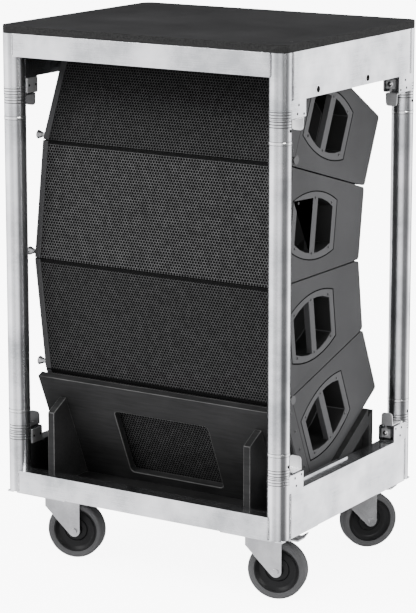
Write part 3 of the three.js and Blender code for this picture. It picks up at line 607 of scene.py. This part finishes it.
# Near-black coat: the real black edges of the grilles, and painted shade on the left latches and the right
# link pins.
black_coat_and_shade, tree, shader, coordinate = new_material("black_coat_and_painted_shade")
worn = noise_node(tree, coordinate, 90.0, 5)
gloss = ramp(tree, worn, ((0.42, (0.005, 0.005, 0.005)), (0.72, (0.02, 0.02, 0.02))))
tree.links.new(gloss, shader.inputs["Base Color"])
tree.links.new(spread(tree, worn, 0.28, 0.5), shader.inputs["Roughness"])
bump(tree, shader, worn, 0.0001)


def solid_prism(name, outline, low, high, turn, origin, material, body, slot, rounding=0.0004):
    """An outline of local (y, z) points carried along x from low to high, then placed by turn and origin."""
    outline = np.asarray(outline, float)
    count = len(outline)
    ring = np.concatenate([np.column_stack([np.full(count, x), outline]) for x in (low, high)])
    points = ring @ turn.T + origin
    k = np.arange(count)
    sides = np.stack([k, (k + 1) % count, (k + 1) % count + count, k + count], axis=-1)
    data = bpy.data.meshes.new(name)
    ends = [list(range(count))[::-1], list(range(count, 2 * count))]
    data.from_pydata(points.tolist(), [], [*sides.tolist(), *ends])
    shape = bmesh.new()
    shape.from_mesh(data)
    bmesh.ops.recalc_face_normals(shape, faces=shape.faces)
    shape.to_mesh(data)
    shape.free()
    data.materials.append(material)
    obj = bpy.data.objects.new(name, data)
    bpy.context.scene.collection.objects.link(obj)
    if rounding:
        bevel = obj.modifiers.new("rounding", "BEVEL")
        bevel.width = rounding
        bevel.segments = 2
    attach(obj, body)


satin = metal("zinc_satin", (0.60, 0.60, 0.60), (0.92, 0.92, 0.92), (0.42, 0.58), 0.0001)
for corner, sx, sy in corners:
    for level in ("base", "lid"):
        # Left latches take the near-black material: painted shade and dark reflection, not a different
        # finish.
        shaped_copy(f"latch_{level}_{corner}", satin if sx > 0 else black_coat_and_shade, zinc_edge, 0.0005, 2)

bolt_from_edge = 0.013
latch_side_x = 0.4479
latch_screws = ((0.043, 0.012), (0.036, -0.010), (0.010, 0.015))
guard_back, guard_front = 0.3975, 0.4002
guard_span = (0.001, 0.049)
guard_half = 0.020
small_screw = 0.0036
bolt_cap = [(0, -0.001), (0.0075, -0.001), (0.0075, 0.0024), (0.0066, 0.0032), (0.0032, 0.0032),
            (0.0032, 0.0060), (0, 0.0060)]
for corner, sx, sy in corners:
    post_x = post_seats(corner)[0]
    for level, body, way in (("base", "cart", 1), ("lid", "lid", -1)):
        latch = f"latch_{level}_{corner}"
        low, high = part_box(latch)
        bolt_z = (low[2] if way > 0 else high[2]) + way * bolt_from_edge
        mouth = low[1] if sy > 0 else high[1]
        for k, (back, up) in enumerate(latch_screws):
            place = (sx * latch_side_x, mouth + sy * back, bolt_z + way * up)
            screw(f"latch_screw_{level}_{corner}_{k}", place, (sx, 0, 0), small_screw, body)
        near, far = sorted(mouth + sy * y for y in guard_span)
        plate = [(near, bolt_z - guard_half), (far, bolt_z - guard_half), (far, bolt_z + guard_half),
                 (near, bolt_z + guard_half)]
        solid_prism(f"latch_guard_{level}_{corner}", plate, *sorted((sx * guard_back, sx * guard_front)),
                    np.eye(3), np.zeros(3), satin, body, "latch_steel", 0.0008)
        for k, back in enumerate((0.010, 0.040)):
            place = (sx * (guard_back + 0.0001), mouth + sy * back, bolt_z)
            screw(f"guard_screw_{level}_{corner}_{k}", place, (-sx, 0, 0), small_screw, body)
        place = (post_x, mouth + sy * 0.004, bolt_z)
        turned_piece(f"bolt_cap_{level}_{corner}", bolt_cap, place, (0, -sy, 0), zinc_edge, latch,
                     24)


# ---- Cabinets ----
# Birch plywood boxes in a fine-textured dark grey coat. Their sides carry a rigging strip along the front
# edge, bolted on, with a near-black band along its back edge as painted shadow for the seam there.
def coated(name, dark, light, grain=900.0, rough=(0.58, 0.78), depth=0.00025, gloss=0.3):
    """A fine-textured coat: grain bump, pale flecks over a slowly varying tone."""
    material, tree, shader, coordinate = new_material(name)
    group = tree.nodes.new("ShaderNodeGroup")
    group.node_tree = speckle
    group.inputs["Grain Scale"].default_value = grain
    group.inputs["Fleck Scale"].default_value = grain * 0.45
    tree.links.new(coordinate, group.inputs["Vector"])
    tone = math_node(tree, "ADD", math_node(tree, "MULTIPLY", group.outputs["Cloud"], 0.5),
                     math_node(tree, "MULTIPLY", group.outputs["Grain"], 0.5))
    tone = math_node(tree, "ADD", tone, math_node(tree, "MULTIPLY", group.outputs["Fleck"], 0.12))
    tree.links.new(ramp(tree, tone, ((0.32, dark), (0.70, light))), shader.inputs["Base Color"])
    tree.links.new(spread(tree, group.outputs["Grain"], *rough), shader.inputs["Roughness"])
    bump(tree, shader, group.outputs["Grain"], depth)
    shader.inputs["Specular IOR Level"].default_value = gloss
    return material


coat = coated("cabinet_coat", (0.021, 0.021, 0.0215), (0.044, 0.044, 0.045))
coat_edge = coated("cabinet_coat_rubbed", (0.034, 0.034, 0.035), (0.060, 0.060, 0.062))
moulding = coated("handle_moulding", (0.028, 0.028, 0.029), (0.048, 0.048, 0.049), 1300.0, (0.45, 0.62),
                  0.0001)
# Near-black material for painted shade in the handle pockets.
recess = coated("handle_pocket_shade", (0.0025, 0.0025, 0.0025), (0.006, 0.006, 0.006), 1300.0, (0.55, 0.7),
                0.0001)

splay = math.radians(15.8)
tilts = [1.5 * splay, 0.5 * splay, -0.5 * splay, -1.5 * splay]


def node_points(node):
    """The node's vertices as an n by 3 array."""
    data = frame["nodes"][node].data
    flat = np.empty(len(data.vertices) * 3)
    data.vertices.foreach_get("co", flat)
    return flat.reshape(-1, 3)


def cabinet_place(number):
    """(turn, origin) of a cabinet: world = turn @ local + origin.

    The turn is about x by minus the tilt. The origin is the middle of the cabinet's face, found from
    the grille's points turned back upright, with its front 1 mm behind the face.
    """
    tilt = tilts[number - 1]
    turn = np.array(Matrix.Rotation(-tilt, 3, "X"))
    upright = node_points(f"grille_{number}") @ turn
    low, high = upright.min(axis=0), upright.max(axis=0)
    centre = np.array([0, low[1] - 0.001, (low[2] + high[2]) / 2])
    return turn, turn @ centre


strip_start = 0.003
strip_width = 0.045
strip_thickness = 0.0012
line_width = 0.0024
bolt_reach = 0.118
half_height = (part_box("grille_2")[1][2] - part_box("grille_2")[0][2]) / 2 / math.cos(tilts[1])
taper = math.tan(splay / 2)
side_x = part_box("cabinet_1")[1][0]
for number in (1, 2, 3, 4):
    shaped_copy(f"cabinet_{number}", coat, coat_edge, 0.0014, 3)
    turn, origin = cabinet_place(number)
    for side, s in (("left", -1), ("right", 1)):
        inner, outer = s * (side_x - 0.0005), s * (side_x + strip_thickness)
        front_half = half_height - 0.004
        back_half = front_half - strip_width * taper
        strip = [(strip_start, -front_half), (strip_width, -back_half), (strip_width, back_half),
                 (strip_start, front_half)]
        solid_prism(f"rigging_strip_{number}_{side}", strip, *sorted((inner, outer)), turn, origin, coat,
                    "cart", "cabinet_coating")
        # A near-black band along the strip's back edge: painted shadow in the seam.
        line = [(strip_width, -back_half), (strip_width + line_width, -back_half),
                (strip_width + line_width, back_half), (strip_width, back_half)]
        solid_prism(f"seam_shade_{number}_{side}", line, *sorted((inner, s * (side_x + 0.0004))), turn, origin,
                    dark, "cart", "cabinet_coating", 0)
        for k, z in enumerate(np.linspace(-bolt_reach, bolt_reach, 5)):
            place = tuple(turn @ np.array([outer, 0.027, z]) + origin)
            screw(f"strip_bolt_{number}_{side}_{k}", place, (s, 0, 0), 0.0042, "cart")


# ---- Side handles ----
# A moulded barrel-shaped rim is let into each side, with a deep pocket and a flat grip bar across it. The
# pocket's deep faces take a near-black material, painted shade on the same moulding. Four screws hold the rim
# and two hold the ends of the bar. A thin black band runs round the rim, painted shade in the seam there.
rim_depth = 0.019
rim_screws = ((0.090, 0.060), (0.270, 0.060), (0.090, -0.060), (0.270, -0.060))
bar_screws = ((0.180, 0.074), (0.180, -0.074))
for number in (1, 2, 3, 4):
    turn, origin = cabinet_place(number)
    for side, s in (("left", -1), ("right", 1)):
        node = f"handle_{number}_{side}"
        data = shaped_copy(node, moulding, moulding, 0.0016, 3)
        data.materials.append(recess)
        centres = np.empty(len(data.polygons) * 3)
        data.polygons.foreach_get("center", centres)
        # Faces deeper than the rim take the near-black material: painted shade in the pocket.
        deep = np.abs(centres.reshape(-1, 3)[:, 0]) < side_x - rim_depth
        data.polygons.foreach_set("material_index", np.where(deep, 2, 0).astype(np.int32))
        for k, (y, z) in enumerate(rim_screws + bar_screws):
            place = tuple(turn @ np.array([s * (side_x + 0.0004), y, z]) + origin)
            screw(f"handle_screw_{number}_{side}_{k}", place, (s, 0, 0), 0.0038, "cart")


def handle_seam(name, turn, origin, s, body, width=0.0034):
    """A narrow black band round the barrel outline of a handle: painted shade in the seam.

    The outline is two arcs through the middle height and the end heights, joined by straight ends. The
    band has a rectangular section, carried round the outline as a closed grid.
    """
    half, middle, end, centre_y = 0.117, 0.0910, 0.0660, 0.180
    rise = middle - end
    radius = (half ** 2 + rise ** 2) / (2 * rise)
    sweep = math.asin(half / radius)
    around = np.linspace(math.pi / 2 - sweep, math.pi / 2 + sweep, 25)
    arch = np.column_stack([centre_y + radius * np.cos(around), middle - radius + radius * np.sin(around)])
    outline = np.concatenate([arch, arch[::-1] * (1, -1)])
    inward = outline - (centre_y, 0)
    inward = inward / np.linalg.norm(inward, axis=1, keepdims=True)
    rings = [(-0.4, -0.0006), (0.6, -0.0006), (0.6, 0.0004), (-0.4, 0.0004)]
    grid = np.stack([np.column_stack([np.full(len(outline), s * (side_x + x)), outline + inward * width * u])
                     for u, x in rings], axis=1)
    points = grid.reshape(-1, 3) @ turn.T + origin
    i, j = np.meshgrid(np.arange(len(outline)), np.arange(4), indexing="ij")
    here, ahead = i * 4, (i + 1) % len(outline) * 4
    beside = (j + 1) % 4
    faces = np.stack([here + j, ahead + j, ahead + beside, here + beside], axis=-1).reshape(-1, 4)
    data = bpy.data.meshes.new(name)
    data.from_pydata(points.tolist(), [], faces.tolist())
    shape = bmesh.new()
    shape.from_mesh(data)
    bmesh.ops.recalc_face_normals(shape, faces=shape.faces)
    shape.to_mesh(data)
    shape.free()
    data.materials.append(dark)
    obj = bpy.data.objects.new(name, data)
    bpy.context.scene.collection.objects.link(obj)
    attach(obj, body)


for number in (1, 2, 3, 4):
    turn, origin = cabinet_place(number)
    for side, s in (("left", -1), ("right", 1)):
        handle_seam(f"handle_seam_{number}_{side}", turn, origin, s, "cart")


# ---- Grilles ----
# Steel sheet punched with staggered round holes, folded back along its top and bottom and powder
# coated black. The holes are 6.8 mm across on an 8.6 mm triangular pitch, which leaves thin webs.
def build_perforation():
    """Mask of round holes on a triangular lattice.

    Two square-cell lattices, of width p and height p times the root of 3, are laid half a cell apart.
    In each, the distance to the cell's middle is compared with the hole's radius.
    """
    tree, start, end = effect_group(
        "perforation",
        [("Vector", "vector", None), ("Pitch", "value", 0.0086), ("Radius", "value", 0.0034)],
        [("Hole", "value"), ("Height", "value")])
    parts = tree.nodes.new("ShaderNodeSeparateXYZ")
    tree.links.new(start.outputs["Vector"], parts.inputs["Vector"])
    pitch = start.outputs["Pitch"]
    tall = math_node(tree, "MULTIPLY", pitch, math.sqrt(3))
    nearest = None
    for shift in (0.0, 0.5):
        squares = []
        for axis, size in (("X", pitch), ("Z", tall)):
            cell = math_node(tree, "ADD", math_node(tree, "DIVIDE", parts.outputs[axis], size), shift)
            offset = math_node(tree, "SUBTRACT", math_node(tree, "FRACT", cell), 0.5)
            distance = math_node(tree, "MULTIPLY", offset, size)
            squares.append(math_node(tree, "MULTIPLY", distance, distance))
        away = math_node(tree, "SQRT", math_node(tree, "ADD", squares[0], squares[1]))
        nearest = away if nearest is None else math_node(tree, "MINIMUM", nearest, away)
    ratio = math_node(tree, "DIVIDE", nearest, start.outputs["Radius"])
    hole = math_node(tree, "MULTIPLY", math_node(tree, "SUBTRACT", 1.12, ratio), 5.0, clamp=True)
    tree.links.new(hole, end.inputs["Hole"])
    tree.links.new(math_node(tree, "SUBTRACT", 1.0, hole), end.inputs["Height"])
    return tree


perforation = build_perforation()


def punched_sheet(number):
    """Black coat with near-black holes, on coordinates turned upright with this cabinet's face. Each
    cabinet's sheet tone is scaled by its own factor, painted light and shade for how its tilted face meets
    the lamps. The hole colour stands partly for the black baffle behind and partly for painted shade inside
    the holes.
    """
    material, tree, shader, coordinate = new_material(f"punched_sheet_{number}")
    upright = tree.nodes.new("ShaderNodeMapping")
    upright.inputs["Rotation"].default_value = (tilts[number - 1], 0, 0)
    tree.links.new(coordinate, upright.inputs["Vector"])
    holes = tree.nodes.new("ShaderNodeGroup")
    holes.node_tree = perforation
    tree.links.new(upright.outputs["Vector"], holes.inputs["Vector"])
    holes.inputs["Pitch"].default_value = 0.0086
    holes.inputs["Radius"].default_value = 0.0034
    wear = noise_node(tree, coordinate, 60.0, 5)
    # Per-cabinet factor: painted light and shade, the same coat drawn lighter or darker cabinet by cabinet.
    web = (0.50, 0.85, 0.55, 0.65)[number - 1]
    sheet = ramp(tree, wear, ((0.35, (0.040 * web,) * 3), (0.70, (0.078 * web,) * 3)))
    mix = tree.nodes.new("ShaderNodeMix")
    mix.data_type = "RGBA"
    # Near-black hole colour: the black baffle behind, plus painted shade in the holes.
    mix.inputs["B"].default_value = (0.0005, 0.0005, 0.0005, 1)
    tree.links.new(holes.outputs["Hole"], mix.inputs["Factor"])
    tree.links.new(sheet, mix.inputs["A"])
    tree.links.new(mix.outputs["Result"], shader.inputs["Base Color"])
    rougher = math_node(tree, "MULTIPLY", holes.outputs["Hole"], 0.5)
    rough = math_node(tree, "ADD", spread(tree, wear, 0.52, 0.66), rougher, clamp=True)
    tree.links.new(rough, shader.inputs["Roughness"])
    bump(tree, shader, holes.outputs["Height"], 0.0006, 0.6)
    shader.inputs["Specular IOR Level"].default_value = 0.12
    return material


for number in (1, 2, 3, 4):
    shaped_copy(f"grille_{number}", punched_sheet(number), black_coat_and_shade, 0.0006, 2)


# ---- Shadow strips between cabinets ----
# A near-black strip lies between neighbouring cabinets along their front edges, and laps a little over the
# top fold of the lower grille: painted shadow for the dark gap between the cabinets.
gap_shade_front, gap_shade_back = 0.0004, 0.024
gap_shade_low, gap_shade_high = half_height - 0.0075, half_height + 0.0022
gap_shade_half = side_x - 0.0008
for number in (2, 3, 4):
    turn, origin = cabinet_place(number)
    gap_shade = [(gap_shade_front, gap_shade_low), (gap_shade_back, gap_shade_low), (gap_shade_back, gap_shade_high), (gap_shade_front, gap_shade_high)]
    solid_prism(f"joint_shadow_strip_{number}", gap_shade, -gap_shade_half, gap_shade_half, turn, origin, dark, "cart",
                "grille_sheet")


# ---- Drivers ----
# Behind each grille a black baffle holds two cones beside a central horn. The grilles hide them, and
# only the plain dark coat matters.
cone = coated("driver_black", (0.012, 0.012, 0.012), (0.030, 0.030, 0.030), 500.0)
for number in (1, 2, 3, 4):
    shaped_copy(f"driver_baffle_{number}", cone, cone, 0.0008, 2)


# ---- Link pins ----
# Quick-release pins join neighbouring cabinets. Each is turned stainless steel with a collar, a narrow neck
# and a cone-shaped pull knob, ribbed for grip. Those on the right are the same steel drawn near-black, as
# painted shade.
pin_steel = metal("pin_steel", (0.22, 0.22, 0.22), (0.52, 0.52, 0.52), (0.18, 0.32))
pin_root = 0.3665
shaft_radius, collar_radius = 0.005, 0.009
collar_start, collar_end, knob_start, knob_end = 0.0173, 0.0213, 0.0263, 0.0443
rib_count = 4
knob = [(0.006, knob_start)]
for k in range(rib_count):
    share = (k + 0.6) / (rib_count + 0.6)
    z, radius = knob_start + (knob_end - knob_start) * share, 0.006 + 0.007 * share
    knob += [(radius, z), (radius - 0.0006, z + 0.0008), (radius + 0.0003, z + 0.0016)]
pin_profile = [(0, 0), (shaft_radius, 0), (shaft_radius, collar_start), (collar_radius, collar_start),
               (collar_radius, collar_end), (shaft_radius, collar_end), (shaft_radius, knob_start), *knob,
               (0.0125, knob_end - 0.0006), (0.0120, knob_end), (0, knob_end)]
for number in (1, 2, 3):
    for side, s in (("left", -1), ("right", 1)):
        node = f"link_pin_{number}_{side}"
        low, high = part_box(node)
        place = (s * pin_root, (low[1] + high[1]) / 2, (low[2] + high[2]) / 2)
        # Right pins take the near-black material as painted shade.
        obj = turned_piece(f"pin_{number}_{side}_turned", pin_profile, place, (s, 0, 0),
                           black_coat_and_shade if s > 0 else pin_steel, f"pin_{number}_{side}", 32)
        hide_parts(node)


# ---- Cradle ----
# Black stained plywood boards carry the bottom cabinet. Their edges are rubbed back to pale grey wood
# by years of loading.
def stained(name, dark, light):
    """Stained plywood: wood grain as noise drawn out along x, with soft cloudy wear."""
    material, tree, shader, coordinate = new_material(name)
    grain = noise_node(tree, stretched(tree, coordinate, (12, 160, 160)), 1.0, 6, 0.6)
    cloud = noise_node(tree, coordinate, 9.0, 5)
    tone = math_node(tree, "ADD", math_node(tree, "MULTIPLY", grain, 0.6),
                     math_node(tree, "MULTIPLY", cloud, 0.4))
    tree.links.new(ramp(tree, tone, ((0.35, dark), (0.68, light))), shader.inputs["Base Color"])
    tree.links.new(spread(tree, tone, 0.42, 0.68), shader.inputs["Roughness"])
    bump(tree, shader, grain, 0.0002)
    shader.inputs["Specular IOR Level"].default_value = 0.12
    return material


stain = stained("plywood_black", (0.0080, 0.0080, 0.0080), (0.0210, 0.0210, 0.0210))
stain_edge = stained("plywood_rubbed", (0.040, 0.040, 0.0394), (0.110, 0.110, 0.108))
for node in ("cradle_floor", "cradle_front_panel", "cradle_cheek_left", "cradle_cheek_right",
             "cradle_rear_support"):
    shaped_copy(node, stain, stain_edge, 0.0018, 2)


# ---- Casters ----
# Swivel casters with pressed, zinc plated forks. A grey elastic tyre is moulded on a black polyamide
# wheel whose face has a ring groove, and two casters have a brake pedal.
pressed_zinc = metal("zinc_pressed", (0.34, 0.34, 0.345), (0.68, 0.68, 0.69), (0.36, 0.52), 0.0001)
tyre_rubber = coated("tyre_grey", (0.040, 0.040, 0.041), (0.075, 0.075, 0.076), 500.0, (0.6, 0.8), 0.00025,
                     0.2)
polyamide = coated("wheel_core_black", (0.005, 0.005, 0.005), (0.011, 0.011, 0.0115), 700.0, (0.34, 0.50),
                   0.00008, 0.15)


def arc(centre, radius, start, end, count=7):
    """Points round part of a circle, with angles in degrees."""
    angle = np.radians(np.linspace(start, end, count))
    return np.column_stack([centre[0] + radius * np.cos(angle), centre[1] + radius * np.sin(angle)]).tolist()


joint_of = {joint["child"]: joint for joint in frame["record"]["behaviour"]["joints"]}
tyre_outer, tyre_seat, tyre_shoulder, tyre_half = 0.0798, 0.0623, 0.008, 0.0225
flank, round_off = tyre_outer - tyre_shoulder, tyre_half - tyre_shoulder
tread = [(tyre_seat, -tyre_half + 0.004), (flank, -tyre_half),
         *arc((flank, -round_off), tyre_shoulder, -90, 0), *arc((flank, round_off), tyre_shoulder, 0, 90),
         (tyre_seat, tyre_half - 0.004)]
web, rim, boss, bore_radius = 0.008, 0.062, 0.016, 0.0065
face = [(boss, web + 0.017), (boss + 0.0025, web + 0.003), (0.030, web + 0.001), (0.032, web - 0.0012),
        (0.034, web + 0.001), (0.048, web), (0.051, web + 0.001), (rim - 0.003, 0.0185), (rim, 0.0185)]
back = [(radius, -z) for radius, z in face][::-1]
core = [(bore_radius, web + 0.017), *face, *back, (bore_radius, -web - 0.017)]
for corner, sx, sy in corners:
    shaped_copy("caster_fork_" + corner, pressed_zinc, zinc_edge, 0.0007, 2)
    spin = joint_of["wheel_" + corner]
    place, axis = spin["pos_m"], spin["axis"]
    wheel = "wheel_" + corner
    tyre = turned_piece("tyre_" + corner, tread, place, axis, tyre_rubber, wheel, 96)
    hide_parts("wheel_tyre_" + corner)
    hub = turned_piece("core_" + corner, core, place, axis, polyamide, wheel, 96)
    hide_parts("wheel_hub_" + corner)
for corner in ("front_right", "rear_right"):
    shaped_copy("brake_pedal_" + corner, satin, zinc_edge, 0.0006, 2)
